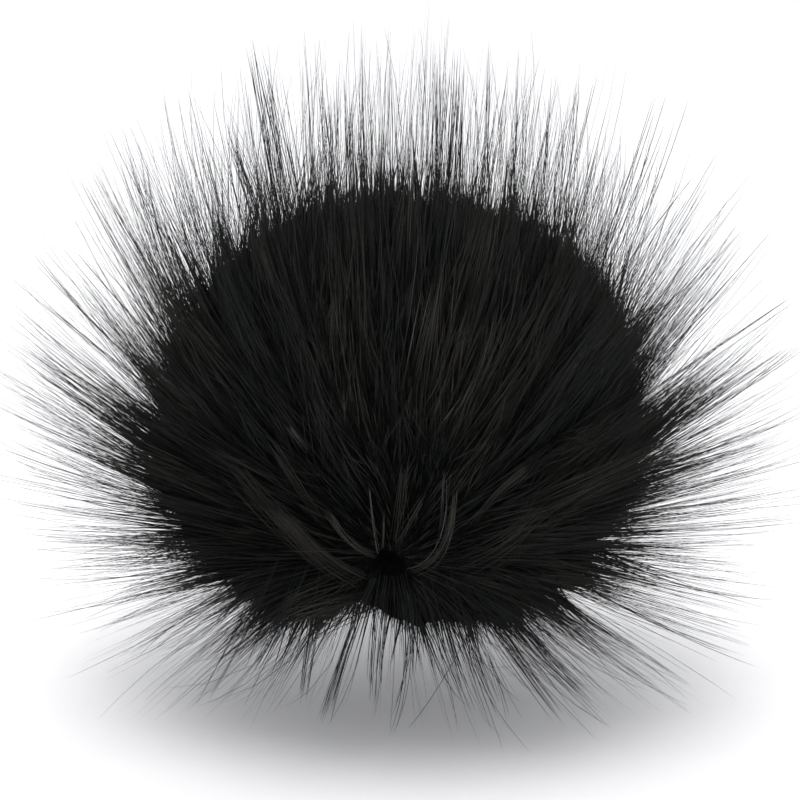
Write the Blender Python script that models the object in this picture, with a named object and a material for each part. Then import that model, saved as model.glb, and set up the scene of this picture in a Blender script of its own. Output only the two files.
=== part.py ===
"""A lone faux-fur pom pom, resting on a table on the tips of its own pile.

Real object: a circle of long-pile fur cloth, gathered at its rim round a filling, pile outwards. All
of the pile leans away from the gather. It is one piece, so it is one solid: a ball, which is the
dense mass of the pile with the gather drawn into it, and tapered locks that grow out of the ball.

Frame: metres, +Z up, origin on the table under the ball's centre. The gather looks to the front,
which is -Y, and down.
"""

import math
import random

import bmesh
import bpy
from mathutils import Vector, noise

# ---- Driving dimensions -------------------------------------------------------------------------
BALL_WIDTH = 0.098  # left to right
BALL_DEPTH = 0.094  # front to back
BALL_HEIGHT = 0.088
CENTRE_HEIGHT = 0.060  # of the ball's centre over the table, on its springy pile

GATHER_BELOW_LEVEL = math.radians(32)  # the gather looks this far below the horizontal
GATHER_TO_LEFT = math.radians(4)  # and this far left of the front
GATHER_MOUTH_RADIUS = 0.0085
GATHER_THROAT_RADIUS = 0.0060
GATHER_THROAT_DEPTH = 0.0030
GATHER_FLOOR_RADIUS = 0.0045  # the flat floor, where the pom pom is sewn on
GATHER_DEPTH = 0.0090  # of the floor below the ball's surface

BALL_SUBDIVISIONS = 3  # of the icosphere: 320 faces
FACE_JITTER = 0.16  # of an edge, so that the locks don't stand in rows
LOCKS = 300  # so many of the faces grow one
ROOT_MARGIN = 0.0019  # from the edges of its face to the root of a lock

LOCK_LENGTH = 0.034
LENGTH_SPREAD = 0.22  # a lock is up to this share longer or shorter
LEAN = math.radians(57)  # from the ball's normal, away from the gather
LEAN_SPREAD = math.radians(5)
FAR_FADE = {"from": math.radians(115), "to": math.radians(172), "least": 0.10}  # from the gather
UNDER_FADE = {"from": math.radians(60), "to": math.radians(15), "least": 0.50}  # from straight down
SWIRL = 0.22  # sideways drift of a lock's tip, as a share of its length
SWIRL_SIZE = 0.030  # locks that are nearer than this drift alike

# How thick a lock is, as a share of its root, at each ring from root to tip.
RINGS = ({"along": 0.20, "girth": 0.82}, {"along": 0.50, "girth": 0.60}, {"along": 0.78, "girth": 0.32})
FOOT_GIRTH = 0.36  # of the level end of a lock that stands on the table
ORIGIN_FOOT_GIRTH = 0.75  # of the one that stands on the origin
CLOSE_ENOUGH = 0.000001  # to the table, for the end of a lock that stands on it

# Long tufts that stand out of the pile, by where their tips are from the ball's centre.
TUFTS = (
    {"name": "left of the crown", "length": 0.044, "right": -0.029, "back": 0.010, "up": 0.070},
    {"name": "crown", "length": 0.043, "right": 0.010, "back": 0.012, "up": 0.072},
    {"name": "upper right", "length": 0.049, "right": 0.058, "back": 0.004, "up": 0.058},
    {"name": "right", "length": 0.048, "right": 0.077, "back": -0.004, "up": 0.024},
    {"name": "lower right", "length": 0.045, "right": 0.073, "back": -0.004, "up": -0.028},
    {"name": "upper left", "length": 0.046, "right": -0.055, "back": 0.004, "up": 0.054},
    {"name": "left", "length": 0.045, "right": -0.075, "back": 0.000, "up": 0.021},
    {"name": "lower left", "length": 0.039, "right": -0.067, "back": -0.006, "up": -0.021},
)
SEED = 11

BALL_RADII = Vector((BALL_WIDTH, BALL_DEPTH, BALL_HEIGHT)) / 2
BALL_CENTRE = Vector((0, 0, CENTRE_HEIGHT))
GATHER_AXIS = Vector(
    (
        -math.sin(GATHER_TO_LEFT) * math.cos(GATHER_BELOW_LEVEL),
        -math.cos(GATHER_TO_LEFT) * math.cos(GATHER_BELOW_LEVEL),
        -math.sin(GATHER_BELOW_LEVEL),
    )
)
DOWN = Vector((0, 0, -1))


def clear_scene():
    for obj in list(bpy.data.objects):
        bpy.data.objects.remove(obj, do_unlink=True)


def fur_material():
    """Black fur: nearly no colour of its own and a soft sheen."""
    material = bpy.data.materials.new("black_fur")
    material.use_nodes = True
    shader = material.node_tree.nodes["Principled BSDF"]
    shader.inputs["Base Color"].default_value = (0.012, 0.012, 0.012, 1)
    shader.inputs["Roughness"].default_value = 0.55
    shader.inputs["Metallic"].default_value = 0.0
    return material


def on_ball(direction):
    """The point of the ball's surface in this direction from its centre."""
    unit = direction.normalized()
    squares = sum((unit[i] / BALL_RADII[i]) ** 2 for i in range(3))
    return BALL_CENTRE + unit / math.sqrt(squares)


def ball_normal(point):
    offset = point - BALL_CENTRE
    return Vector(offset[i] / BALL_RADII[i] ** 2 for i in range(3)).normalized()


def faded(fade, angle):
    """1 before the fade, its least share after it, and a smooth way from one to the other."""
    share = (angle - fade["from"]) / (fade["to"] - fade["from"])
    share = min(max(share, 0), 1)
    return 1 - (1 - fade["least"]) * share * share * (3 - 2 * share)


# ---- The ball and its gather --------------------------------------------------------------------
def make_ball(bm):
    """A jittered icosphere with a pole on the gather's axis. Returns the face over the gather, with
    ten sides, and the faces that may grow a lock, which are ringed by a margin."""
    bmesh.ops.create_icosphere(bm, subdivisions=BALL_SUBDIVISIONS, radius=1)
    turn = Vector((0, 0, 1)).rotation_difference(GATHER_AXIS).to_matrix()
    bmesh.ops.transform(bm, matrix=turn.to_4x4(), verts=bm.verts)
    pole = max(bm.verts, key=lambda vert: vert.co.dot(GATHER_AXIS))
    rim = [edge.other_vert(pole) for edge in pole.link_edges]
    bmesh.ops.dissolve_verts(bm, verts=[pole])
    jitter = random.Random(SEED)
    for vert in bm.verts:
        reach = FACE_JITTER * vert.link_edges[0].calc_length()
        step = Vector(jitter.uniform(-reach, reach) for _ in range(3))
        if vert not in rim:
            vert.co += step
    mouth = max(bm.faces, key=lambda face: len(face.verts))
    for edge in list(mouth.edges):
        bmesh.utils.edge_split(edge, edge.verts[0], 0.5)
    for vert in bm.verts:
        vert.co = on_ball(vert.co)
    place_ring(mouth, on_ball(GATHER_AXIS), GATHER_MOUTH_RADIUS)
    for vert in mouth.verts:
        vert.co = on_ball(vert.co - BALL_CENTRE)
    faces = [face for face in bm.faces if face is not mouth]
    bmesh.ops.inset_individual(bm, faces=faces, thickness=ROOT_MARGIN)
    for vert in bm.verts:
        vert.co = on_ball(vert.co - BALL_CENTRE)
    return mouth, faces


def place_ring(face, middle, radius):
    """Sets the corners of a face on a circle round the gather's axis."""
    for vert in face.verts:
        out = vert.co - middle
        out -= GATHER_AXIS * out.dot(GATHER_AXIS)
        vert.co = middle + out.normalized() * radius


def draw_in_gather(bm, mouth):
    """Pushes the face over the gather inwards, through a throat, to a flat floor."""
    surface = on_ball(GATHER_AXIS)
    steps = ((GATHER_THROAT_DEPTH, GATHER_THROAT_RADIUS), (GATHER_DEPTH, GATHER_FLOOR_RADIUS))
    face = mouth
    for depth, radius in steps:
        (face,) = bmesh.ops.extrude_discrete_faces(bm, faces=[face])["faces"]
        place_ring(face, surface - GATHER_AXIS * depth, radius)


# ---- The locks ----------------------------------------------------------------------------------
class Lock:
    """One tapered lock: the face that it is rooted in, and the gently bent line that it follows."""

    def __init__(self, face, chance):
        self.face = face
        self.root = face.calc_center_median()
        normal = ball_normal(self.root)
        comb = (normal * normal.dot(GATHER_AXIS) - GATHER_AXIS).normalized()
        share = faded(FAR_FADE, normal.angle(GATHER_AXIS)) * faded(UNDER_FADE, normal.angle(DOWN))
        lean = LEAN * share + chance.uniform(-LEAN_SPREAD, LEAN_SPREAD)
        self.direction = normal * math.cos(lean) + comb * math.sin(lean)
        self.drift = normal.cross(comb) * SWIRL * noise.noise(self.root / SWIRL_SIZE)
        self.length = LOCK_LENGTH * (1 + chance.uniform(-LENGTH_SPREAD, LENGTH_SPREAD))
        self.foot_girth = 0  # of its level end, if it stands on the table

    def at(self, distance):
        """The point of the line at this distance from the root."""
        bend = self.drift * distance**2 / LOCK_LENGTH
        return self.root + self.direction * distance + bend

    def stand_on_table(self):
        """Ends the lock where its line meets the table, if it does."""
        if self.at(self.length).z >= 0:
            return
        above, below = 0, self.length
        while below - above > CLOSE_ENOUGH:
            middle = (above + below) / 2
            if self.at(middle).z > 0:
                above = middle
            else:
                below = middle
        self.length, self.foot_girth = above, FOOT_GIRTH

    def end_at(self, place):
        """Bends the line so that it ends at this place."""
        self.drift += (place - self.at(self.length)) * LOCK_LENGTH / self.length**2

    def grow(self, bm):
        """Draws the lock out of its root, ring by ring, to a point or to a level foot."""
        face = self.face
        offsets = [vert.co - self.root for vert in face.verts]
        for ring in (*RINGS, {"along": 1, "girth": self.foot_girth}):
            (face,) = bmesh.ops.extrude_discrete_faces(bm, faces=[face])["faces"]
            middle = self.at(self.length * ring["along"])
            for vert, offset in zip(face.verts, offsets):
                vert.co = middle + offset * ring["girth"]
        if not self.foot_girth:
            bmesh.ops.pointmerge(bm, verts=face.verts, merge_co=middle)
            return
        for vert in face.verts:
            vert.co.z = 0


def draw_out_tufts(locks):
    """Lengthens, for each tuft, the lock whose tip then comes nearest to its place."""
    for tuft in TUFTS:
        place = BALL_CENTRE + Vector((tuft["right"], tuft["back"], tuft["up"]))
        nearest = min(locks, key=lambda lock: (lock.at(tuft["length"]) - place).length)
        nearest.length = tuft["length"]


def stand_on_origin(locks):
    """The lock that stands nearest to the origin is bent to it and given a broader foot."""
    standing = [lock for lock in locks if lock.foot_girth]
    nearest = min(standing, key=lambda lock: lock.at(lock.length).length)
    nearest.end_at(Vector((0, 0, 0)))
    nearest.foot_girth = ORIGIN_FOOT_GIRTH


def fur_ball():
    bm = bmesh.new()
    mouth, faces = make_ball(bm)
    chance = random.Random(SEED)
    locks = [Lock(face, chance) for face in chance.sample(faces, LOCKS)]
    draw_out_tufts(locks)
    for lock in locks:
        lock.stand_on_table()
    stand_on_origin(locks)
    draw_in_gather(bm, mouth)
    for lock in locks:
        lock.grow(bm)
    bmesh.ops.triangulate(bm, faces=bm.faces)
    mesh = bpy.data.meshes.new("fur_ball")
    bm.to_mesh(mesh)
    bm.free()
    mesh.materials.append(fur_material())
    return bpy.data.objects.new("fur_ball", mesh)


def main():
    clear_scene()
    pom_pom = bpy.data.collections.new("pom_pom")
    bpy.context.scene.collection.children.link(pom_pom)
    pom_pom.objects.link(fur_ball())


main()
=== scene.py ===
# %% [markdown]
# # A black faux-fur pom pom
#
# The real thing is a circle of long-pile fur cloth. Its rim is gathered round a soft filling, so the
# pile ends up on the outside of a ball, and all of it streams away from the small dark hole where
# the rim is drawn shut. It lies on a pale table with that hole low on its front.
#
# Fur could be made with Blender's hair curves, but those are drawn only by the renderer and are lost
# when a model is passed on. So each hair here is a real, closed, three-sided sliver of mesh. Geometry
# Nodes lay the hairs and draw them out, coat by coat, from short underfur to long guard hairs.

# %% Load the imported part
import math
import random

import bmesh
import bpy
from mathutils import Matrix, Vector, noise


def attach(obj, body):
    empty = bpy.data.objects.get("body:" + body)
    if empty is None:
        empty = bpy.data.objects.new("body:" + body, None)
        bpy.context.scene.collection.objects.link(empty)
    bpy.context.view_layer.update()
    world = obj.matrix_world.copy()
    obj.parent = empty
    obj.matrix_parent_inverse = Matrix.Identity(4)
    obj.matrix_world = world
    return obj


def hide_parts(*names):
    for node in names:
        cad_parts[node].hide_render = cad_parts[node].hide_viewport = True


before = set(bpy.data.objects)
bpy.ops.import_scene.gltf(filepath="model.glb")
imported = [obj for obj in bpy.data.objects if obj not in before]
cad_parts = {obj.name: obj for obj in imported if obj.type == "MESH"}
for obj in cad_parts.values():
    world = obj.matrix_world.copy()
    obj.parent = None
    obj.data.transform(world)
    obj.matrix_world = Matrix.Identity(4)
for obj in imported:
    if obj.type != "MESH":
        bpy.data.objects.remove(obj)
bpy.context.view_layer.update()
print("the part's nodes:", *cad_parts)

# %% [markdown]
# ## The ball in numbers
#
# The sizes are those of the part: its ball, the height of its centre over the table, and the way that
# its gather looks. They could be measured on the solid's mesh, but as numbers they can be read, and
# everything below is worked out from them. The eye is where the photo was taken from.

# %% Sizes that are shared with the part
BALL_RADII = Vector((0.049, 0.047, 0.044))
BALL_CENTRE = Vector((0, 0, 0.060))
GATHER_BELOW_LEVEL = math.radians(32)
GATHER_TO_LEFT = math.radians(4)
GATHER_AXIS = Vector(
    (
        -math.sin(GATHER_TO_LEFT) * math.cos(GATHER_BELOW_LEVEL),
        -math.cos(GATHER_TO_LEFT) * math.cos(GATHER_BELOW_LEVEL),
        -math.sin(GATHER_BELOW_LEVEL),
    )
)
BELOW_GATHER = (Vector((0, 0, -1)) - GATHER_AXIS * -GATHER_AXIS.z).normalized()
RIGHT_OF_GATHER = BELOW_GATHER.cross(GATHER_AXIS)
print("the gather looks to", tuple(round(part, 3) for part in GATHER_AXIS))

# %% Where it is looked at from
CAMERA_DISTANCE = 0.45
CAMERA_RISE = math.radians(15)  # the camera looks down by this much
AIM_ABOVE_CENTRE = 0.0038  # of the ball, as it is seen in the picture
LOOK = Vector((0, math.cos(CAMERA_RISE), -math.sin(CAMERA_RISE)))
UP = Vector((0, math.sin(CAMERA_RISE), math.cos(CAMERA_RISE)))
EYE = BALL_CENTRE + UP * AIM_ABOVE_CENTRE - LOOK * CAMERA_DISTANCE
print("the eye is at", tuple(round(part, 3) for part in EYE))

# %% [markdown]
# ## Sums on sockets
#
# A node tree is easier to read as a formula than as a list of nodes. This class wraps a socket, so
# that `a * b + 1` adds the nodes for it. It serves for materials and for Geometry Nodes, because both
# have the same Math and Vector Math nodes.

# %% A socket that does sums


class Wire:
    """An output socket of a node. An operator on it adds the node that works out the result."""

    def __init__(self, board, socket):
        self.board = board
        self.socket = socket

    def is_vector(self):
        return self.socket.type in ("VECTOR", "RGBA")

    def sum(self, operation, first, second):
        vectors = [w for w in (first, second) if isinstance(w, Wire) and w.is_vector()]
        vectors += [w for w in (first, second) if isinstance(w, Vector)]
        kind = "ShaderNodeVectorMath" if vectors else "ShaderNodeMath"
        return self.board.node(kind, {"operation": operation}, {0: first, 1: second})

    def __add__(self, other):
        return self.sum("ADD", self, other)

    def __radd__(self, other):
        return self.sum("ADD", other, self)

    def __sub__(self, other):
        return self.sum("SUBTRACT", self, other)

    def __rsub__(self, other):
        return self.sum("SUBTRACT", other, self)

    def __mul__(self, other):
        return self.sum("MULTIPLY", self, other)

    def __rmul__(self, other):
        return self.sum("MULTIPLY", other, self)

    def __truediv__(self, other):
        return self.sum("DIVIDE", self, other)

    def of(self, operation, other=0.0):
        """A Math node's other operations, on a number."""
        return self.board.node("ShaderNodeMath", {"operation": operation}, {0: self, 1: other})

    def vector(self, operation, other=None, out=0):
        """A Vector Math node's other operations, on a vector."""
        values = {0: self} if other is None else {0: self, 1: other}
        return self.board.node("ShaderNodeVectorMath", {"operation": operation}, values, out)

    def dot(self, other):
        return self.vector("DOT_PRODUCT", other, "Value")

    def cross(self, other):
        return self.vector("CROSS_PRODUCT", other)

    def unit(self):
        return self.vector("NORMALIZE")

    def part(self, axis):
        return self.board.node("ShaderNodeSeparateXYZ", {}, {0: self}, axis)

    def eased(self, start, end, low=0.0, high=1.0):
        """Goes smoothly from low to high while this goes from start to end."""
        values = {"Value": self, "From Min": start, "From Max": end, "To Min": low, "To Max": high}
        settings = {"interpolation_type": "SMOOTHSTEP"}
        return self.board.node("ShaderNodeMapRange", settings, values)

    def factor(self, change):
        """Goes smoothly from 1 to the change's factor while this goes through the change."""
        return self.eased(change["from"], change["to"], 1, change["factor"])


# %% A board to put nodes on


class Board:
    """A node tree that nodes are added to, each by one call."""

    def __init__(self, tree):
        self.tree = tree

    def node(self, kind, settings, values, out=0):
        """Adds a node and returns one of its outputs, or the node itself if it has none."""
        node = self.tree.nodes.new(kind)
        for name, setting in settings.items():
            if name == "stops":
                self.set_stops(node.color_ramp, setting)
            else:
                setattr(node, name, setting)
        for name, value in values.items():
            if isinstance(value, Wire):
                self.tree.links.new(value.socket, node.inputs[name])
            elif isinstance(value, (int, float)) and node.inputs[name].type == "VECTOR":
                node.inputs[name].default_value = (value, value, value)
            else:
                node.inputs[name].default_value = value
        return Wire(self, node.outputs[out]) if node.outputs else node

    def set_stops(self, ramp, stops):
        while len(ramp.elements) < len(stops):
            ramp.elements.new(0.5)
        for element, (place, colour) in zip(ramp.elements, stops):
            element.position = place
            element.color = colour


def mix(share, first, second):
    """Between two vectors or two numbers, by a share."""
    return first + (second - first) * share


# %% [markdown]
# ## Which way a hair goes
#
# On the real pom pom the pile was combed one way, so every hair leans away from the gather. At the
# edge of the photo the hairs aren't radial: their lines pass 30 to 45 mm from the middle of the ball,
# which is a lean of 50 to 60 degrees from the skin. The pile also sweeps upwards like a fountain, most
# of all beside the gather. The lean dies away on the far side, where the pile would otherwise run
# together, and underneath, where it stands on the table.
#
# Guide hairs could be combed by hand instead, but a rule can be read, and carries the lay round to the
# sides that the photo doesn't show. It serves every coat, so it is one function that adds its nodes.

# %% Where the lay changes


def by_angle(start, end, factor):
    """A change between two angles from an axis, in degrees. The nodes compare cosines."""
    return {"from": math.cos(math.radians(start)), "to": math.cos(math.radians(end)), "factor": factor}


FAR_FADE = by_angle(128, 175, 0.15)  # of the lean, by the angle from the gather
UNDER_FADE = by_angle(60, 15, 0.55)  # of the lean, by the angle from straight down
FOUNTAIN = by_angle(32, 8, 3.5)  # of the upsweep, by the angle from the gather
RISE = (-0.75, -0.20)  # heights of the normal between which the upsweep sets in
SWIRL_SIZE = 0.030  # hairs nearer to each other than this drift alike
SWIRL_DETAIL = 1.0
print("the lean fades on the far side:", FAR_FADE)

# %% The lay of the pile, as nodes


def normal_at(place):
    """The ball's normal over this place of the skin."""
    return ((place - BALL_CENTRE) / (BALL_RADII * BALL_RADII)).unit()


def lay_of_pile(board, place, lean, swirl, upsweep):
    """The direction in which a hair grows from this place of the skin, and the one beside it."""
    normal = normal_at(place)
    facing = normal.dot(GATHER_AXIS)
    away = (normal * facing - GATHER_AXIS).unit()
    rise = normal.part("Z").eased(*RISE)
    swept = away + upsweep * rise * facing.factor(FOUNTAIN) * Vector((0, 0, 1))
    comb = (swept - normal * swept.dot(normal)).unit()
    side = normal.cross(comb)
    downness = normal.part("Z") * -1
    angle = lean * facing.factor(FAR_FADE) * downness.factor(UNDER_FADE)
    swirls = {"Vector": place, "Scale": 1 / SWIRL_SIZE, "Detail": SWIRL_DETAIL}
    drift = board.node("ShaderNodeTexNoise", {}, swirls) - 0.5  # the noise goes from 0 to 1
    straight = normal * angle.of("COSINE") + comb * angle.of("SINE")
    return (straight + side * drift * swirl).unit(), side


# %% [markdown]
# ## The fur's colour, with painted highlight and painted shade
#
# Black fur isn't one black. Some hairs are a little brown or grey, and every hair is painted darker
# towards its root, as painted shade of the deep pile. A bundle of hairs that catches the light is one
# pale streak, and that light is a painted highlight in the hairs' colour. A map on each hair says all
# this: across it is the hair's own shade, from 0 to 1, whose palest end is that painted highlight, and
# up it is the way from root to tip. Every colour depends on the map alone, so a hair keeps its colour
# wherever it goes. A texture laid over the ball would be simpler, but then all hairs that cross one
# place would have one colour.

# %% The fur's numbers
HAIR_MAP = "OFBake"
FUR_TONES_AND_HIGHLIGHT = (  # a hair's shade, and its colour; the palest is a painted highlight
    (0.00, (0.0155, 0.0175, 0.0178, 1)),
    (0.45, (0.0225, 0.0242, 0.0236, 1)),
    (0.70, (0.0285, 0.0282, 0.0256, 1)),
    (0.88, (0.0430, 0.0408, 0.0350, 1)),
    # painted highlight: the palest hairs, which stand for a lit lock
    (1.00, (0.1100, 0.1090, 0.1030, 1)),
)
SHADED_ROOT_SHARE = 0.45  # share of its colour that a hair keeps at its root; the darker root is painted shade
FUR_ROUGHNESS = 0.55
PALE_GLOSS = 0.1  # by how much the palest hair is less rough
FUR_SHINE = 0.03

# %% The fur's material


def new_material(name):
    """A material with nodes, with its board and the shader that is on it from the start."""
    material = bpy.data.materials.new(name)
    material.use_nodes = True
    return material, Board(material.node_tree), material.node_tree.nodes["Principled BSDF"]


def fur_material():
    """Hair whose tone goes by its own shade, palest as a painted highlight, and which is painted darker
    at the root as shade.
    """
    material, board, shader = new_material("black_fur")
    spot = board.node("ShaderNodeUVMap", {"uv_map": HAIR_MAP}, {})
    tone = board.node("ShaderNodeValToRGB", {"stops": FUR_TONES_AND_HIGHLIGHT}, {"Fac": spot.part("X")})
    colour = tone * (SHADED_ROOT_SHARE + spot.part("Y") * (1 - SHADED_ROOT_SHARE))
    board.tree.links.new(colour.socket, shader.inputs["Base Color"])
    roughness = FUR_ROUGHNESS - spot.part("X") * PALE_GLOSS
    board.tree.links.new(roughness.socket, shader.inputs["Roughness"])
    shader.inputs["Specular IOR Level"].default_value = FUR_SHINE
    return material


FUR = fur_material()
print("material:", FUR.name)

# %% [markdown]
# ## The dense mass under the hairs
#
# Deep in the pile no single hair can be told from the next. There it is one dark, closed mesh, a
# little inside the part's ball, so that the short coats can stand on it and fill it out. Its near-black
# colour, darker than any hair's, is painted shade: the shade that fills the deep pile. It isn't a plain
# ball. It is flattened round the gather, drawn in below it, and swells at the lower left and the upper
# right. Shallow ridges run away from the gather, as the backs of locks do, and the gather itself is a
# funnel.
#
# It could be sculpted. Here it is a fine icosphere whose points are moved along their own directions,
# which keeps it closed and without poles, and each feature is one line that can be changed by itself.

# %% The shape of the dense mass
SKIN_SHARE = Vector((0.885, 0.93, 0.935))  # of the ball's radii
# Shares are of the distance from the ball's middle, and so are the funnel's width and height. The
# greater a fall is, the nearer to its own middle a feature stays.
FUNNEL = {"width": 0.085, "height": 0.135, "depth": 0.014, "fall": 2}
FLATTENING = {"share": 0.095, "fall": 4}
NOTCH = {"share": 0.13, "fall": 2, "place": -0.20, "width": 0.20}  # place and width from left to right
BULGE_FALL = 6
BULGES = (  # where the mass swells, and by what share
    (Vector((-0.82, -0.15, -0.52)).normalized(), 0.045),
    (Vector((0.80, 0.10, 0.50)).normalized(), 0.055),
)
RIDGE_DEPTH = 0.09  # share by which locks stand out of the mass
RIDGES = 8  # the higher, the narrower they are
RIDGE_BREAKS = 1.5  # the higher, the shorter


def ridge(direction):
    """How far ridges stand out, as a share of the distance from the ball's middle."""
    turn = math.atan2(direction.dot(RIGHT_OF_GATHER), direction.dot(BELOW_GATHER))
    away = direction.angle(GATHER_AXIS)
    place = Vector((math.cos(turn) * RIDGES, math.sin(turn) * RIDGES, away * RIDGE_BREAKS))
    return RIDGE_DEPTH * noise.noise(place) * math.sin(away)


def skin_point(direction):
    """The place of the mass's surface in this direction from the ball's middle."""
    squares = sum((direction[i] / (BALL_RADII[i] * SKIN_SHARE[i])) ** 2 for i in range(3))
    beside = (direction.x - NOTCH["place"]) / NOTCH["width"]
    notch = NOTCH["share"] * min(direction.z, 0) ** NOTCH["fall"] * math.exp(-(beside**2))
    facing = direction.dot(GATHER_AXIS)
    flat = FLATTENING["share"] * max(facing, 0) ** FLATTENING["fall"]
    bulge = sum(share * max(direction.dot(axis), 0) ** BULGE_FALL for axis, share in BULGES)
    reach = 1 / math.sqrt(squares) * (1 - notch) * (1 - flat) * (1 + bulge)
    reach *= 1 + ridge(direction)
    across = direction.dot(RIGHT_OF_GATHER) / FUNNEL["width"]
    down = direction.dot(BELOW_GATHER) / FUNNEL["height"]
    if facing > 0:
        reach -= FUNNEL["depth"] * math.exp(-FUNNEL["fall"] * (across**2 + down**2))
    return BALL_CENTRE + direction * reach


print("the funnel's floor is at", skin_point(GATHER_AXIS))

# %% The mesh of the dense mass
MASS_SUBDIVISIONS = 6


def mesh_from(bm, name):
    mesh = bpy.data.meshes.new(name)
    bm.to_mesh(mesh)
    bm.free()
    return mesh


def add_object(name, data):
    """A new object in the scene."""
    obj = bpy.data.objects.new(name, data)
    bpy.context.scene.collection.objects.link(obj)
    return obj


def make_skin(name, subdivisions):
    bm = bmesh.new()
    bmesh.ops.create_icosphere(bm, subdivisions=subdivisions, radius=1)
    for vert in bm.verts:
        vert.co = skin_point(vert.co.normalized())
    for face in bm.faces:
        face.smooth = True
    return add_object(name, mesh_from(bm, name))


underfur = make_skin("underfur_mass", MASS_SUBDIVISIONS)
print("underfur:", len(underfur.data.polygons), "faces")

# %% Its material
FLUFF_SCALE = 900  # of the noise that mottles it, for each metre
FLUFF_DETAIL = 3
# painted shade: the mass is far darker than the hairs, because the deep pile lies in shade
FLUFF_AND_SHADE_TONES = ((0.35, (0.0020, 0.0025, 0.0022, 1)), (0.75, (0.0062, 0.0065, 0.0060, 1)))
UNDERFUR_ROUGHNESS = 0.9


def underfur_material():
    """Underfur: nearly black as painted shade of the deep pile, finely mottled, and quite without
    shine.
    """
    material, board, shader = new_material("underfur")
    place = board.node("ShaderNodeTexCoord", {}, {}, "Object")
    noises = {"Vector": place, "Scale": FLUFF_SCALE, "Detail": FLUFF_DETAIL}
    fluff = board.node("ShaderNodeTexNoise", {}, noises)
    colour = board.node("ShaderNodeValToRGB", {"stops": FLUFF_AND_SHADE_TONES}, {"Fac": fluff})
    board.tree.links.new(colour.socket, shader.inputs["Base Color"])
    shader.inputs["Roughness"].default_value = UNDERFUR_ROUGHNESS
    shader.inputs["Specular IOR Level"].default_value = 0.0
    return material


underfur.data.materials.append(underfur_material())
print("its material:", underfur.data.materials[0].name)

# %% [markdown]
# ## Laying the hairs
#
# A hair is three points: its root, its tip, and a middle one that bends it. This tree scatters roots
# over the skin and works out the other two. A hair leaves the skin on its own, and its tip is drawn
# towards the line of the nearest lock, because real pile clumps into locks. As in the photo, few hairs
# grow just below the gather, and those low on the flanks are longer. Hairs that would go through the
# table are lifted to it and splayed along it.
#
# It could all be worked out in Python, hair by hair, but the tree does tens of thousands at once, and
# its sizes stay open as inputs, so that one tree lays every coat.

# %% What a coat can choose
LAY_SIZES = {  # with the values of a coat that doesn't choose
    "Density": 1.0e6,  # hairs to the square metre
    "Thinning": 0.8,  # share of the hairs that is missing just below the gather
    "Far Thinning": 0.3,  # and on the far side, where the pile comes together
    "Length": 0.020,
    "Length Spread": 0.3,
    "Side Length": 0.12,  # share by which hairs at the left and the right are longer
    "Flank Length": 0.30,  # low at the left and the right
    "Front Length": -0.30,  # round the gather
    "Flank Density": 0.0,  # share by which more hairs grow low at the left and the right
    "Longest": 0.045,
    "Lean": math.radians(55),
    "Lean Spread": math.radians(6),
    "Swirl": 0.5,
    "Upsweep": 0.28,
    "Stray": 0.10,
    "Curl": 0.04,
    "Bend": 0.75,  # how far a hair sets out along its own start, and not straight for its tip
    "Clumping": 0.8,
    "Lock Density": 9.0e4,  # locks to the square metre
    "Lock Spread": 0.12,
    "Lock Curl": 0.05,
    "Lock Length Spread": 0.25,
    "Seed": 1,
    "Lock Seed": 1,
}
print(len(LAY_SIZES), "sizes to choose")

# %% What all coats share
BARE = by_angle(4.5, 2.5, 0)  # of the density: nothing grows in the middle of the gather
CALM = by_angle(35, 12, 0.1)  # of the clumping, round the gather
THIN_BELOW = (0.05, 0.30)  # how far below the gather's axis the thinning sets in
THIN_BESIDE = {"from": 0.15, "to": 0.45, "factor": 0}  # and how far beside it it ends
FAR_SIDE = (0.0, -0.75)  # the thinning of the far side sets in between these
FLANK_SIDE = (0.40, 0.85)  # a flank is where the normal goes this far to a side
FLANK_TOP = {"from": -0.35, "to": 0.20, "factor": 0}  # and no higher than this
FRONT = (0.2, 0.9)  # "Front Length" sets in between these
LEAST_LONGEST = 0.85  # a hair is cut off somewhere between this share of "Longest" and the whole
CLUMPING_POWER = 0.4  # below 1, so most of a lock's hairs are drawn well in, and a few aren't
START_SWEEP = -0.20  # a hair's upsweep at its root
# a lock's hairs share its shade, so a pale lock is one streak; at its palest, a painted highlight
LOCK_SHADE = 0.7  # how much of a hair's shade is that of its lock
TABLE_GAP = 0.0004  # the least height of a bend or a tip over the table
SPLAY = 0.7  # how far a hair slides along the table, as a share of what it is lifted
SALTS = {
    "lock lean": 11, "lock side": 12, "lock shade": 13, "lock bend": 14, "lock length": 15,
    "shade": 21, "lean": 22, "side": 23, "length": 24, "clumping": 25, "curl": 26, "longest": 27,
}
print("random numbers are drawn for", ", ".join(SALTS))

# %% Helpers for a tree of Geometry Nodes


def new_tree(name, sizes, kinds=("Geometry",)):
    """A tree with these inputs. Returns its board, and its inputs as wires by their names."""
    tree = bpy.data.node_groups.new(name, "GeometryNodeTree")
    for kind in kinds:
        tree.interface.new_socket(kind, in_out="INPUT", socket_type="NodeSocket" + kind)
    for label, size in sizes.items():
        kind = "NodeSocketInt" if isinstance(size, int) else "NodeSocketFloat"
        tree.interface.new_socket(label, in_out="INPUT", socket_type=kind).default_value = size
    tree.interface.new_socket("Geometry", in_out="OUTPUT", socket_type="NodeSocketGeometry")
    board = Board(tree)
    node = tree.nodes.new("NodeGroupInput")
    return board, {socket.name: Wire(board, socket) for socket in node.outputs if socket.name}


# The node of random numbers has sockets of the same names for each type, so they go by number.
RANDOM_LOW, RANDOM_HIGH, RANDOM_SEED = 2, 3, 8
RANDOM_NUMBER = 1


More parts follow.
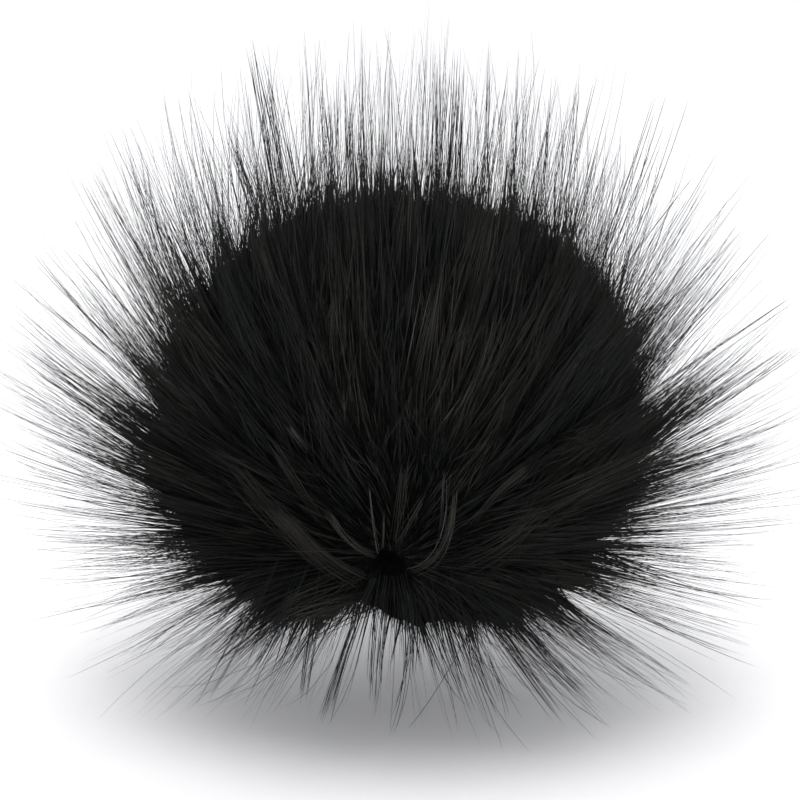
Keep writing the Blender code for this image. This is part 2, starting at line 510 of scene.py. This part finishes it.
def chance(board, seed, purpose, low=0.0, high=1.0):
    """A random number for each point. Each purpose has a salt, which gives other numbers."""
    values = {RANDOM_LOW: low, RANDOM_HIGH: high, RANDOM_SEED: seed + SALTS[purpose]}
    return board.node("FunctionNodeRandomValue", {"data_type": "FLOAT"}, values, RANDOM_NUMBER)


def either_way(board, seed, purpose):
    return chance(board, seed, purpose, -1, 1)


def named(board, name, kind="FLOAT_VECTOR"):
    return board.node("GeometryNodeInputNamedAttribute", {"data_type": kind}, {"Name": name})


def keep(board, geometry, name, value, kind="FLOAT_VECTOR", domain="POINT"):
    settings = {"data_type": kind, "domain": domain}
    values = {"Geometry": geometry, "Name": name, "Value": value}
    return board.node("GeometryNodeStoreNamedAttribute", settings, values)


def scatter(board, skin, density, seed):
    settings = {"distribute_method": "RANDOM"}
    values = {"Mesh": skin, "Density": density, "Seed": seed}
    return board.node("GeometryNodeDistributePointsOnFaces", settings, values)


# %% Locks, and what a hair takes from the nearest one


def lay_locks(board, size, place):
    """Fewer points than hairs, the same for every coat, each with what the hairs round it share."""
    seed = size["Lock Seed"]
    lean = size["Lean"] + either_way(board, seed, "lock lean") * size["Lock Spread"]
    direction, side = lay_of_pile(board, place, lean, size["Swirl"], size["Upsweep"])
    toss = either_way(board, seed, "lock side") * size["Lock Spread"]
    stature = 1 + size["Lock Length Spread"] * either_way(board, seed, "lock length")
    locks = scatter(board, size["Geometry"], size["Lock Density"], seed)
    locks = keep(board, locks, "heading", (direction + side * toss).unit())
    locks = keep(board, locks, "bend", side * either_way(board, seed, "lock bend"))
    locks = keep(board, locks, "lock_shade", chance(board, seed, "lock shade"), "FLOAT")
    return keep(board, locks, "stature", stature, "FLOAT")


def nearest_lock(board, locks, place):
    """The nearest lock's place, heading, bend, shade and stature."""
    where = {"Geometry": locks, "Sample Position": place}
    nearest = board.node("GeometryNodeSampleNearest", {}, where)

    def of_lock(value, kind="FLOAT_VECTOR"):
        values = {"Geometry": locks, "Value": value, "Index": nearest}
        return board.node("GeometryNodeSampleIndex", {"data_type": kind}, values)

    lines = [of_lock(value) for value in (place, named(board, "heading"), named(board, "bend"))]
    numbers = [of_lock(named(board, name, "FLOAT"), "FLOAT") for name in ("lock_shade", "stature")]
    return *lines, *numbers


# %% How many hairs grow, and how long


def flank_at(normal):
    """1 low at the left and the right, and 0 elsewhere."""
    return normal.part("X").of("ABSOLUTE").eased(*FLANK_SIDE) * normal.part("Z").factor(FLANK_TOP)


def density_at(normal, size):
    facing = normal.dot(GATHER_AXIS)
    below = normal.dot(BELOW_GATHER).eased(*THIN_BELOW)
    beside = normal.dot(RIGHT_OF_GATHER).of("ABSOLUTE").factor(THIN_BESIDE)
    far = facing.eased(*FAR_SIDE) * size["Far Thinning"]
    density = size["Density"] * facing.factor(BARE)
    density = density * (1 - below * beside * size["Thinning"]) * (1 - far)
    return density * (1 + flank_at(normal) * size["Flank Density"])


def length_at(board, normal, stature, size):
    sideways = normal.part("X").of("ABSOLUTE")
    front = normal.dot(GATHER_AXIS).eased(*FRONT)
    own = 1 + either_way(board, size["Seed"], "length") * size["Length Spread"]
    here = 1 + sideways * size["Side Length"] + flank_at(normal) * size["Flank Length"]
    here = here + front * size["Front Length"]
    longest = size["Longest"] * chance(board, size["Seed"], "longest", LEAST_LONGEST, 1.0)
    return (size["Length"] * own * stature * here).of("MINIMUM", longest)


def over_table(place, root):
    """Lifts a point that is under the table to it, and slides it outwards."""
    lift = (TABLE_GAP - place.part("Z")).of("MAXIMUM", 0.0)
    outwards = ((place - root) * Vector((1, 1, 0))).unit()
    return place + lift * Vector((0, 0, 1)) + outwards * lift * SPLAY


# %% The tree that lays a coat


def lay_tree():
    board, size = new_tree("lay_the_pile", LAY_SIZES)
    seed, swirl = size["Seed"], size["Swirl"]
    place = board.node("GeometryNodeInputPosition", {}, {})
    normal = normal_at(place)
    locks = lay_locks(board, size, place)
    lock_place, lock_heading, lock_bend, lock_shade, stature = nearest_lock(board, locks, place)
    # the palest shades are a painted highlight, and the rest are the fur's own tones
    shade = lock_shade * LOCK_SHADE + chance(board, seed, "shade") * (1 - LOCK_SHADE)

    # The hair's own line, strayed a little, and its length.
    lean = size["Lean"] + either_way(board, seed, "lean") * size["Lean Spread"]
    start, _ = lay_of_pile(board, place, lean, swirl, START_SWEEP)
    direction, side = lay_of_pile(board, place, lean, swirl, size["Upsweep"])
    own = (direction + side * (either_way(board, seed, "side") * size["Stray"])).unit()
    length = length_at(board, normal, stature, size)

    # Its tip is drawn towards the lock's line, more for one hair and less for the next.
    calm = normal.dot(GATHER_AXIS).factor(CALM)
    share = size["Clumping"] * chance(board, seed, "clumping").of("POWER", CLUMPING_POWER) * calm
    lock_tip = lock_place + lock_heading * length
    aim = (mix(share, place + own * length, lock_tip) - place).unit()
    curl = side * either_way(board, seed, "curl") * size["Curl"] + lock_bend * size["Lock Curl"]
    middle = place + mix(size["Bend"], aim, start) * length * 0.5 + curl * length
    tip = place + aim * length

    hairs = scatter(board, size["Geometry"], density_at(normal, size), seed)
    hairs = keep(board, hairs, "middle", over_table(middle, place))
    hairs = keep(board, hairs, "tip", over_table(tip, place))
    hairs = keep(board, hairs, "side", side)
    hairs = keep(board, hairs, "shade", shade, "FLOAT")
    board.node("NodeGroupOutput", {}, {0: hairs})
    return board.tree


LAY = lay_tree()
print("the tree that lays a coat has", len(LAY.nodes), "nodes")

# %% [markdown]
# ## Drawing the hairs out
#
# The second tree turns those points into hairs. It puts one slim cone on each point, closed at both
# ends, makes the copies real, and then moves every corner of them: how far up the cone it is says how
# far along the bent line it goes. A tube along a curve would do as well, but it ends in a flat cap,
# and a hair ends in a point. Three sides are enough for something a tenth of a millimetre thick.

# %% What a hair can choose
DRAW_SIZES = {
    "Width": 0.00012,
    "Segments": 3,
    "Bluntness": 6.0,  # the higher, the nearer to its tip a hair tapers
    "Rings to Tip": 2.0,  # above 1, a hair's rings gather towards its tip
}
SIDES = 3
LEAST_TAPER = 0.001  # so that nothing is divided by 0 at the tip
MAP_MARGIN = 0.02  # that a hair keeps from the map's edges
HAIR_MAP_WIDTH = 0.012  # of a hair on the map, so that no hair is a mere line there
print(len(DRAW_SIZES), "sizes to choose")

# %% The tree that draws hairs out


def hair_line(board, along, left):
    """The place on a hair's bent line, and the way that the line goes there."""
    root, middle, tip = (named(board, name) for name in ("root", "middle", "tip"))
    place = root * (left * left) + middle * (left * along * 2) + tip * (along * along)
    return place, ((middle - root) * left + (tip - middle) * along).unit()


def hair_map(board, in_cone, along, left):
    """The corner's place on the map: across by the hair's shade, up by the way to the tip."""
    usable = 1 - 2 * MAP_MARGIN
    shade = named(board, "shade", "FLOAT")
    across = MAP_MARGIN + shade * usable + in_cone.part("Y") * HAIR_MAP_WIDTH
    up = MAP_MARGIN + along * usable + in_cone.part("X") * HAIR_MAP_WIDTH * left
    return board.node("ShaderNodeCombineXYZ", {}, {0: across, 1: up})


def draw_tree():
    board, size = new_tree("draw_the_hairs", DRAW_SIZES, kinds=("Geometry", "Material"))
    place = board.node("GeometryNodeInputPosition", {}, {})
    shape = {"Vertices": SIDES, "Side Segments": size["Segments"]}
    shape |= {"Radius Top": 0.0, "Radius Bottom": 1.0, "Depth": 1.0}
    cone = keep(board, board.node("GeometryNodeMeshCone", {}, shape), "in_cone", place)
    points = keep(board, size["Geometry"], "root", place)
    copies = board.node("GeometryNodeInstanceOnPoints", {}, {"Points": points, "Instance": cone})
    hairs = board.node("GeometryNodeRealizeInstances", {}, {0: copies})

    in_cone = named(board, "in_cone")
    taper = 1 - in_cone.part("Z")
    left = taper.of("POWER", size["Rings to Tip"])
    along = 1 - left
    line, heading = hair_line(board, along, left)
    across = heading.cross(named(board, "side")).unit()
    beside = across.cross(heading)
    girth = size["Width"] / 2 * (1 - along.of("POWER", size["Bluntness"]))
    girth = girth / taper.of("MAXIMUM", LEAST_TAPER)
    corner = line + (beside * in_cone.part("X") + across * in_cone.part("Y")) * girth

    hairs = board.node("GeometryNodeSetPosition", {}, {"Geometry": hairs, "Position": corner})
    hairs = keep(board, hairs, HAIR_MAP, hair_map(board, in_cone, along, left), "FLOAT2", "CORNER")
    hairs = board.node("GeometryNodeSetShadeSmooth", {}, {0: hairs})
    hairs = board.node("GeometryNodeSetMaterial", {}, {0: hairs, "Material": size["Material"]})
    board.node("NodeGroupOutput", {}, {0: hairs})
    return board.tree


DRAW = draw_tree()
print("the tree that draws hairs has", len(DRAW.nodes), "nodes")

# %% Running the trees
OWN_ATTRIBUTES = ("in_cone", "root", "middle", "tip", "side", "shade", "id")


def add_tree(obj, tree, sizes):
    """Adds a tree to an object, with its inputs set by name."""
    modifier = obj.modifiers.new(tree.name, "NODES")
    modifier.node_group = tree
    for item in tree.interface.items_tree:
        if item.in_out == "INPUT" and item.name in sizes:
            modifier[item.identifier] = sizes[item.name]


def run_trees(name, data, trees, sizes):
    """What trees make of a mesh, as a piece with a plain mesh and none of the trees' attributes."""
    guide = add_object("guide", data)
    for tree in trees:
        add_tree(guide, tree, sizes)
    bpy.context.view_layer.update()
    depsgraph = bpy.context.evaluated_depsgraph_get()
    mesh = bpy.data.meshes.new_from_object(guide.evaluated_get(depsgraph))
    mesh.name = name
    for attribute in OWN_ATTRIBUTES:
        if attribute in mesh.attributes:
            mesh.attributes.remove(mesh.attributes[attribute])
    bpy.data.objects.remove(guide)
    triangles = sum(len(face.vertices) - 2 for face in mesh.polygons)
    print(name, triangles, "triangles")
    return add_object(name, mesh)


# %% [markdown]
# ## The coats
#
# One coat of one length would look like a brush, so there are eight. Each is one row: how many hairs,
# how long, how thick, in how many segments. The three short ones stand close and hide the dense mass.
# The tufts are thick hairs, drawn together to short points, and give the mass its ragged dark edge.
# The fine and the long pile are very thin hairs that lie nearly alike, and are the grey fringe round
# it. The guard hairs and the strays are seen one by one against the table, so they get more segments
# to bend with. A count is turned into a density by the area of the skin.

# %% What rows have in common
COARSE = {
    "Lock Density": 2.4e4,
    "Lock Length Spread": 0.30,
    "Lock Spread": 0.06,
    "Lean": math.radians(51),
    "Lean Spread": math.radians(3),
    "Side Length": 0.06,
    "Flank Length": 0.45,
    "Flank Density": 0.25,
    "Far Thinning": 0.78,
    "Longest": 0.048,
    "Stray": 0.03,
    "Swirl": 0.4,
}
FINE = COARSE | {"Bluntness": 3.0, "Bend": 0.0, "Curl": 0.0, "Lock Curl": 0.02}
print("coarse hair leans by", round(math.degrees(COARSE["Lean"])), "degrees")

# %% The rows
COATS = (
    {"name": "underfur_short", "Seed": 100, "hairs": 27000, "Length": 0.0032, "Width": 0.00013,
     "Segments": 1, "Clumping": 0.3},
    {"name": "pile_low", "Seed": 200, "hairs": 27000, "Length": 0.0048, "Width": 0.00012,
     "Segments": 1, "Clumping": 0.45},
    {"name": "pile_high", "Seed": 300, "hairs": 8000, "Length": 0.0068, "Width": 0.00011,
     "Segments": 1, "Clumping": 0.6, "Length Spread": 0.35,
     "Far Thinning": -1.5},  # below 0, so more grow on the far side, where the long coats are thin
    FINE | {"name": "tufts", "Seed": 350, "hairs": 7000, "Length": 0.0138, "Width": 0.00045,
            "Segments": 1, "Clumping": 1.0, "Length Spread": 0.35, "Lock Length Spread": 0.5,
            "Flank Density": 0.0},
    FINE | {"name": "fine_pile", "Seed": 400, "hairs": 19000, "Length": 0.0200, "Width": 0.000034,
            "Segments": 1, "Clumping": 0.8, "Length Spread": 0.45, "Flank Density": 0.0},
    FINE | {"name": "long_pile", "Seed": 450, "hairs": 7500, "Length": 0.0308, "Width": 0.000055,
            "Segments": 2, "Clumping": 0.6, "Length Spread": 0.45, "Bend": 0.3, "Bluntness": 12.0},
    COARSE | {"name": "guard_hairs", "Seed": 500, "hairs": 1600, "Length": 0.0340, "Width": 0.00010,
              "Segments": 4, "Clumping": 0.6, "Length Spread": 0.40, "Bend": 0.4, "Curl": 0.02,
              "Bluntness": 12.0},
    COARSE | {"name": "stray_hairs", "Seed": 600, "hairs": 600, "Length": 0.0430, "Width": 0.00009,
              "Segments": 5, "Clumping": 0.5, "Length Spread": 0.18, "Stray": 0.16, "Curl": 0.06,
              "Bluntness": 12.0},
)
print(sum(coat["hairs"] for coat in COATS), "hairs in", len(COATS), "coats")

# %% Grow the coats
SKIN_SUBDIVISIONS = 5
skin = make_skin("skin", SKIN_SUBDIVISIONS)
skin_area = sum(face.area for face in skin.data.polygons)
print("the skin is", round(skin_area, 4), "square metres")


def grow(coat):
    sizes = {"Density": coat["hairs"] / skin_area, "Material": FUR} | coat
    return run_trees(coat["name"], skin.data, (LAY, DRAW), sizes)


coats = [grow(coat) for coat in COATS]
bpy.data.objects.remove(skin)

# %% [markdown]
# ## Locks that are seen one by one
#
# Chance doesn't put the locks where they are on this very pom pom: the thick one left of the crown,
# the bunch on the crown, the curls beside the gather, whose pale light is a painted highlight, the
# points that hang below it. These were placed one by one. Each row gives where a lock is rooted, the
# place that its bend is pulled towards, and its tip, all as they are seen from the front, in
# millimetres right of and above the ball's middle.
# A row can't say how near a place is, so that is worked out: on the ball, scaled by a share, or level
# with its middle where it is seen past the ball's edge.
#
# One solid blade for each lock would be less work, but a real one is hairs that end one by one. So a
# row is drawn as hairs, each up to about a fifth shorter than the row says. On the rim they are also
# spread to and from the eye, or all of them together would be a flat fin when seen from the side.

# %% Placed locks on the rim
RIM_LOCKS = (  # root, bend, tip, hairs, fan in millimetres, shade
    ((-20.6, 31.0), (-25.0, 50.0), (-29.3, 74.0), 22, 2.0, 0.2),
    ((-23.0, 29.0), (-29.0, 43.0), (-33.4, 56.0), 14, 1.0, 0.2),
    ((-17.0, 31.0), (-19.5, 45.0), (-21.8, 57.9), 5, 0.8, 0.2),
    ((-26.0, 27.0), (-31.5, 45.0), (-35.3, 62.3), 5, 0.8, 0.2),
    ((-29.0, 24.0), (-36.0, 44.0), (-41.5, 65.6), 1, 0.2, 0.2),
    ((-33.0, 20.0), (-40.0, 36.0), (-43.8, 53.0), 4, 0.7, 0.2),
    ((-34.0, 18.0), (-41.5, 34.0), (-46.5, 51.1), 3, 0.7, 0.2),
    ((-36.0, 12.0), (-48.5, 32.0), (-49.2, 51.1), 3, 0.7, 0.2),
    ((-32.8, 17.0), (-47.0, 34.0), (-56.9, 57.2), 2, 0.2, 0.2),
    ((-35.0, 13.0), (-49.0, 28.0), (-59.6, 47.3), 4, 0.9, 0.2),
    ((-37.5, 6.0), (-53.0, 21.0), (-65.0, 35.2), 4, 0.9, 0.2),
    ((-38.0, 1.0), (-59.0, 15.0), (-72.3, 33.8), 3, 0.8, 0.2),
    ((-38.0, 0.0), (-58.0, 13.0), (-76.2, 28.9), 3, 0.6, 0.2),
    ((-38.0, -5.0), (-58.0, 5.0), (-74.5, 16.2), 4, 1.0, 0.2),
    ((-38.0, -8.0), (-58.0, 1.0), (-73.3, 11.6), 4, 1.0, 0.2),
    ((-11.0, 30.0), (-13.4, 50.0), (-15.0, 66.2), 5, 0.7, 0.2),
    ((-9.0, 31.0), (-9.4, 50.0), (-10.6, 66.5), 5, 0.5, 0.2),
    ((-6.6, 31.0), (-7.0, 55.0), (-7.3, 76.7), 2, 0.1, 0.2),
    ((-1.5, 31.0), (-1.9, 52.0), (-2.3, 70.0), 4, 0.5, 0.2),
    ((7.0, 31.0), (7.1, 52.0), (7.1, 71.9), 6, 0.6, 0.2),
    ((9.8, 30.0), (10.6, 50.0), (11.6, 72.3), 22, 1.7, 0.2),
    ((15.5, 31.0), (16.8, 52.0), (17.4, 72.9), 3, 0.4, 0.2),
    ((21.0, 29.0), (22.5, 46.0), (23.3, 63.6), 3, 0.6, 0.2),
    ((26.0, 27.0), (28.0, 47.0), (29.1, 66.5), 3, 0.4, 0.2),
    ((28.0, 25.0), (32.0, 46.0), (34.9, 67.1), 3, 0.4, 0.2),
    ((29.0, 24.0), (33.0, 48.0), (38.2, 67.5), 2, 0.3, 0.2),
    ((30.0, 23.0), (35.5, 42.0), (39.9, 60.4), 3, 0.6, 0.2),
    ((34.5, 18.0), (44.0, 42.0), (50.9, 64.6), 5, 1.0, 0.2),
    ((34.0, 18.0), (44.5, 38.0), (51.5, 58.4), 3, 0.6, 0.2),
    ((35.5, 13.0), (48.5, 38.0), (55.9, 63.6), 2, 0.5, 0.2),
    ((36.5, 10.0), (50.0, 31.0), (62.1, 52.8), 3, 0.8, 0.2),
    ((37.5, 5.0), (54.0, 24.0), (66.7, 37.8), 4, 0.8, 0.2),
    ((38.5, 1.4), (58.0, 19.0), (73.9, 38.2), 3, 0.8, 0.2),
    ((38.5, -2.0), (60.0, 12.5), (76.8, 24.1), 4, 0.9, 0.2),
    ((38.5, -5.0), (60.0, 5.0), (74.6, 15.0), 4, 0.9, 0.2),
    ((30.0, -23.0), (52.0, -33.0), (73.3, -34.7), 3, 0.9, 0.2),
    ((25.0, -26.0), (46.0, -40.0), (69.4, -48.2), 3, 0.8, 0.2),
    ((-5.4, -30.0), (-12.0, -46.0), (-15.0, -58.8), 12, 0.9, 0.2),
    ((-2.9, -30.0), (-5.4, -44.0), (-5.4, -55.9), 10, 0.8, 0.2),
    ((0.0, -30.0), (4.5, -48.0), (-1.5, -61.7), 6, 0.9, 0.2),
    ((1.5, -30.0), (3.5, -40.0), (2.3, -50.0), 12, 1.0, 0.2),
    ((3.9, -31.0), (7.7, -44.0), (13.9, -57.8), 9, 1.0, 0.2),
    ((9.0, -30.0), (13.5, -44.0), (19.3, -57.8), 8, 1.2, 0.2),
    ((12.0, -30.0), (20.0, -44.0), (31.8, -59.2), 12, 1.0, 0.2),
    ((16.0, -29.0), (25.0, -43.0), (38.6, -55.0), 14, 1.3, 0.2),
    ((-15.0, -29.0), (-17.5, -43.0), (-18.9, -55.4), 10, 0.9, 0.2),
    ((-18.0, -28.0), (-23.0, -41.0), (-29.5, -52.5), 10, 1.2, 0.2),
    ((-24.0, -26.0), (-29.0, -40.0), (-38.6, -56.3), 5, 1.0, 0.2),
    ((16.0, -36.0), (7.0, -54.0), (1.4, -59.8), 1, 0.1, 0.2),
)
RIM_SHARES = (0.84, 1.08, 1.27)  # of the ball's size, for root, bend and tip
RIM_DEPTH = 0.011  # the spread of a rim lock's hairs to and from the eye
print(len(RIM_LOCKS), "locks on the rim")

# %% Placed locks on the face
FACE_LOCKS = (  # as above
    # a shade near 1 paints a lock pale as if lit: a painted highlight
    ((2.3, -29.3), (10.5, -27.5), (10.9, -12.9), 10, 0.5, 0.97),
    ((-4.2, -25.7), (-5.4, -19.3), (-6.0, -12.5), 5, 0.2, 1.00),
    ((-3.3, -24.5), (-3.0, -21.0), (-3.1, -17.5), 4, 0.2, 0.95),
    ((-4.8, -26.4), (-10.5, -25.0), (-15.0, -16.8), 8, 0.4, 0.95),
    ((-7.7, -30.3), (-18.0, -26.0), (-25.1, -16.0), 22, 1.2, 0.88),
    ((-15.5, -19.0), (-20.6, -11.0), (-25.1, -3.9), 12, 0.6, 0.88),
    ((-0.6, -23.0), (0.4, -14.0), (1.0, -7.7), 8, 0.5, 0.85),
    ((7.9, -22.5), (8.5, -15.0), (8.7, -9.6), 7, 0.4, 0.93),
    ((-0.4, -23.5), (2.2, -19.0), (5.2, -14.1), 7, 0.4, 0.86),
    ((11.0, -27.2), (20.0, -24.5), (27.6, -17.4), 16, 1.0, 0.86),
    ((14.0, -20.5), (19.0, -12.9), (26.4, -8.3), 9, 0.6, 0.88),
    ((-17.5, -6.5), (-20.0, -3.5), (-21.8, -1.0), 5, 0.3, 1.00),
    ((27.4, -1.5), (31.6, 6.0), (36.6, 15.4), 3, 0.2, 1.00),
    ((-13.8, -8.0), (-15.0, -1.0), (-16.6, 5.0), 16, 1.4, 0.80),
    ((6.4, -6.0), (6.8, 9.0), (6.9, 21.2), 16, 1.2, 0.80),
    ((16.0, 2.0), (17.3, 12.0), (18.4, 22.0), 14, 1.2, 0.78),
    ((-7.0, -33.5), (-15.0, -34.5), (-24.0, -38.0), 26, 2.2, 0.87),
    ((-7.0, -34.5), (-13.0, -37.5), (-19.0, -42.0), 20, 1.8, 0.83),
    ((15.4, -27.0), (32.0, -17.0), (49.0, 1.9), 26, 2.4, 0.80),
    ((-13.5, -27.0), (-24.0, -21.0), (-34.0, -8.0), 20, 2.0, 0.80),
)
FACE_SHARES = (0.90, 1.01, 1.05)
print(len(FACE_LOCKS), "locks on the face")

# %% From a row to places in space
MM_IN_METRE = 1000
PLACED_LENGTH_SPREAD = 0.22  # a placed hair is up to this share shorter than its row says
PLACED_SHADES = (-0.15, 0.05)  # and its shade is up to this much lower or higher


def seen_at(x, y, share):
    """The nearest place of the scaled ball that is seen here, or the place level with its middle."""
    seen = BALL_CENTRE + Vector((x, 0, 0)) / MM_IN_METRE + UP * y / MM_IN_METRE
    ray = (seen - EYE).normalized()
    start = Vector(a / b for a, b in zip(EYE - BALL_CENTRE, BALL_RADII))
    step = Vector(a / b for a, b in zip(ray, BALL_RADII))
    distance = -start.dot(step) / step.length_squared
    depth = share**2 - (start + step * distance).length_squared
    if depth > 0:
        distance -= math.sqrt(depth / step.length_squared)
    return EYE + ray * distance


def hairs_of(row, shares, depth, draw):
    """The root, the bend, the tip and the shade of each hair of a placed lock."""
    *places, hairs, fan, shade = row
    root, bend, tip = (seen_at(*place, share) for place, share in zip(places, shares))
    across = (tip - root).cross(LOOK).normalized()
    through = across.cross(tip - root).normalized()
    for number in range(hairs):
        start = (across * draw.gauss(0, 1) + through * draw.gauss(0, 1)) * fan / MM_IN_METRE
        end = (across * draw.gauss(0, 1) + through * draw.gauss(0, 1)) * fan / (2 * MM_IN_METRE)
        end += start / 2
        cut = 1 - PLACED_LENGTH_SPREAD * draw.random() if number else 1
        own_root = root + start
        own_bend = own_root.lerp(bend + (start + end) / 2, cut)
        own_tip = own_root.lerp(tip + end, cut)
        deep = draw.gauss(0, depth)
        line = [place + (place - EYE).normalized() * deep for place in (own_root, own_bend, own_tip)]
        yield *line, min(shade + draw.uniform(*PLACED_SHADES), 1)


print("the crown's bunch is rooted at", seen_at(*RIM_LOCKS[20][0], RIM_SHARES[0]))

# %% Draw out the placed locks
PLACED_SEED = 31
PLACED_SIZES = {
    "Width": 0.00013,
    "Segments": 7,
    "Bluntness": 12.0,
    "Rings to Tip": 1.2,
    "Material": FUR,
}


def keep_on(mesh, name, values):
    """Keeps a vector for each point of a mesh."""
    layer = mesh.attributes.new(name, "FLOAT_VECTOR", "POINT")
    layer.data.foreach_set("vector", [part for value in values for part in value])


def place_locks(name, rows, shares, depth):
    draw = random.Random(PLACED_SEED)
    hairs = [hair for row in rows for hair in hairs_of(row, shares, depth, draw)]
    roots, bends, tips, shades = zip(*hairs)
    mesh = bpy.data.meshes.new(name)
    mesh.from_pydata(roots, [], [])
    keep_on(mesh, "middle", bends)
    keep_on(mesh, "tip", tips)
    keep_on(mesh, "side", [LOOK] * len(hairs))
    layer = mesh.attributes.new("shade", "FLOAT", "POINT")
    layer.data.foreach_set("value", shades)
    return run_trees(name, mesh, (DRAW,), PLACED_SIZES)


rim_locks = place_locks("rim_locks", RIM_LOCKS, RIM_SHARES, RIM_DEPTH)
face_locks = place_locks("face_locks", FACE_LOCKS, FACE_SHARES, 0)

# %% [markdown]
# ## What each piece stands for
#
# The part is one solid: a ball with three hundred thick locks. It stays in the simulation, where it
# can be touched, but it could only be shown as blades, not as hair. So it is hidden here, and all
# eleven pieces together stand for it. They ride on its one body, because no part of a pom pom moves
# by itself.

# %% Tie the pieces to the part
pieces = [underfur, *coats, rim_locks, face_locks]
for piece in pieces:
    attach(piece, "root")
    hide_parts("fur_ball")
print(len(pieces), "pieces")

# %% [markdown]
# ## Table, light and camera
#
# The table is a wide pale disc, and it is the whole of the background. How bright it is decides how
# much of the fur is seen: hair thinner than a pixel is lost on a table that is far brighter than
# white. So the light brings the table only a little above white. One large soft lamp hangs above and
# a little in front, in an even sky, which gives the wide, faint shadow of the photo. A stronger lamp
# in a darker sky would shape the ball more, but the photo's ball is nearly flat black.

# %% Table
TABLE_RADIUS = 12
TABLE_SIDES = 64
TABLE_COLOUR = (0.925, 0.925, 0.945, 1)
TABLE_ROUGHNESS = 0.8


def make_table():
    bm = bmesh.new()
    bmesh.ops.create_circle(bm, cap_ends=True, segments=TABLE_SIDES, radius=TABLE_RADIUS)
    table = add_object("table", mesh_from(bm, "table"))
    material, _, shader = new_material("pale_table")
    shader.inputs["Base Color"].default_value = TABLE_COLOUR
    shader.inputs["Roughness"].default_value = TABLE_ROUGHNESS
    table.data.materials.append(material)
    return table


table = make_table()
print("the table is", table.dimensions.x, "metres wide")

# %% Light
LAMP = {"place": Vector((-0.12, -0.60, 2.00)), "size": 1.2, "power": 23, "colour": (1.0, 0.98, 0.95)}
SKY = {"colour": (0.98, 0.985, 1.0, 1), "strength": 0.94}

light = bpy.data.lights.new("overhead", "AREA")
light.shape = "DISK"
light.size = LAMP["size"]
light.energy = LAMP["power"]
light.color = LAMP["colour"]
lamp = add_object("overhead", light)
lamp.location = LAMP["place"]
lamp.rotation_euler = (BALL_CENTRE - LAMP["place"]).to_track_quat("-Z", "Y").to_euler()
lamp.visible_camera = False
world = bpy.data.worlds.new("studio")
world.use_nodes = True
world.node_tree.nodes["Background"].inputs["Color"].default_value = SKY["colour"]
world.node_tree.nodes["Background"].inputs["Strength"].default_value = SKY["strength"]
bpy.context.scene.world = world
bpy.context.scene.view_settings.view_transform = "Standard"
print("lamp:", LAMP["power"], "watts, sky:", SKY["strength"])

# %% Camera
CAMERA_LENS = 105  # mm, on a sensor 36 mm wide
SENSOR_WIDTH = 36
camera = add_object("camera", bpy.data.cameras.new("camera"))
camera.data.lens = CAMERA_LENS
camera.data.sensor_width = SENSOR_WIDTH
camera.location = EYE
camera.rotation_euler = LOOK.to_track_quat("-Z", "Y").to_euler()
bpy.context.scene.camera = camera
print("camera:", CAMERA_LENS, "mm")
